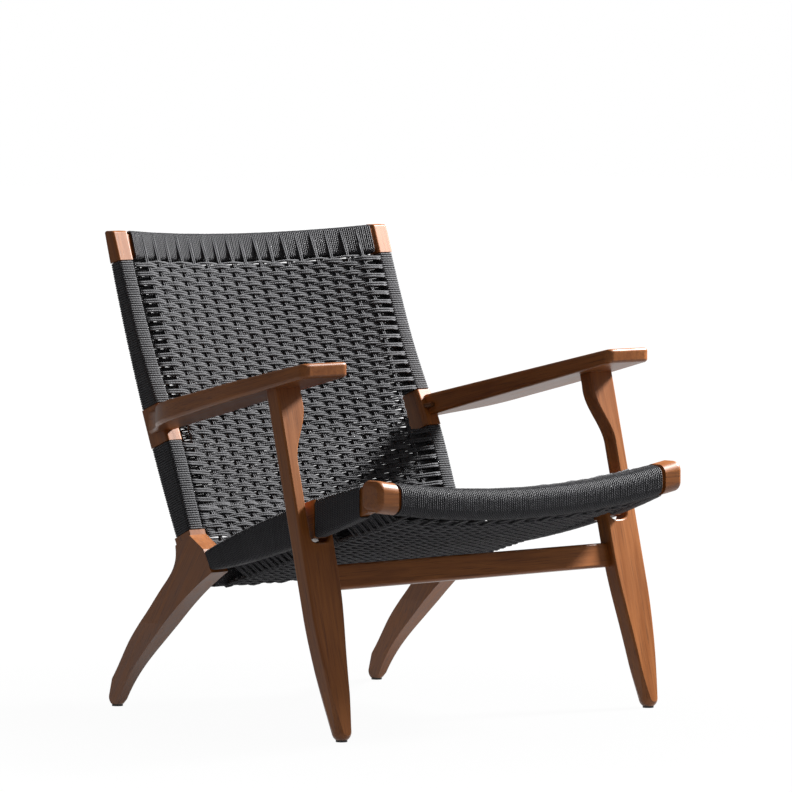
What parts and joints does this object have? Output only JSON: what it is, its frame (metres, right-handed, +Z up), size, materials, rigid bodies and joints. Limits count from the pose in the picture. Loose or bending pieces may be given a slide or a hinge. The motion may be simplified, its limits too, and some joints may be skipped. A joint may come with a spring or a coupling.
{
  "type": "armchair",
  "caption": "Low wooden armchair with curved walnut-stained frame, flat flared armrests, and a dark paper-cord woven seat and back.",
  "frame": {"origin": "bottom centre of the chair's box, on the floor", "axes": "+Z up, -Y towards the front of the chair, +X towards the sitter's left"},
  "size_m": [0.722, 0.688, 0.727],
  "materials": {
    "walnut_wood": "satin lacquer over walnut stain",
    "peg_wood": "raw beech",
    "paper_cord": "twisted paper cord, charcoal",
    "glide_plastic": "matte",
    "nail_steel": "plain"
  },
  "bodies": {
    "root": {"armrest_left": "walnut_wood", "armrest_right": "walnut_wood", "back_post_left": "walnut_wood", "back_post_right": "walnut_wood", "rear_leg_left": "walnut_wood", "rear_leg_right": "walnut_wood", "front_leg_left": "walnut_wood", "front_leg_right": "walnut_wood", "side_rail_left": "walnut_wood", "side_rail_right": "walnut_wood", "front_seat_rail": "walnut_wood", "rear_seat_rail": "walnut_wood", "front_stretcher": "walnut_wood", "top_back_rail": "walnut_wood", "bottom_back_rail": "walnut_wood", "front_rail_wrap": "paper_cord", "rear_rail_wrap": "paper_cord", "top_rail_wrap": "paper_cord", "bottom_rail_wrap": "paper_cord", "side_rail_front_wrap_left": "paper_cord", "side_rail_front_wrap_right": "paper_cord", "side_rail_rear_wrap_left": "paper_cord", "side_rail_rear_wrap_right": "paper_cord", "post_wrap_upper_left": "paper_cord", "post_wrap_upper_right": "paper_cord", "post_wrap_lower_left": "paper_cord", "post_wrap_lower_right": "paper_cord", "back_weave_front": "paper_cord", "back_weave_rear": "paper_cord", "seat_weave_top": "paper_cord", "seat_weave_underside": "paper_cord", "arm_to_leg_pegs": "peg_wood", "arm_to_post_pegs": "peg_wood", "side_rail_rear_pegs": "peg_wood", "side_rail_front_pegs": "peg_wood", "post_to_leg_pegs": "peg_wood", "leg_notch_pegs": "peg_wood", "front_glides": "glide_plastic", "rear_glides": "glide_plastic", "glide_nails": "nail_steel"}
  },
  "joints": []
}
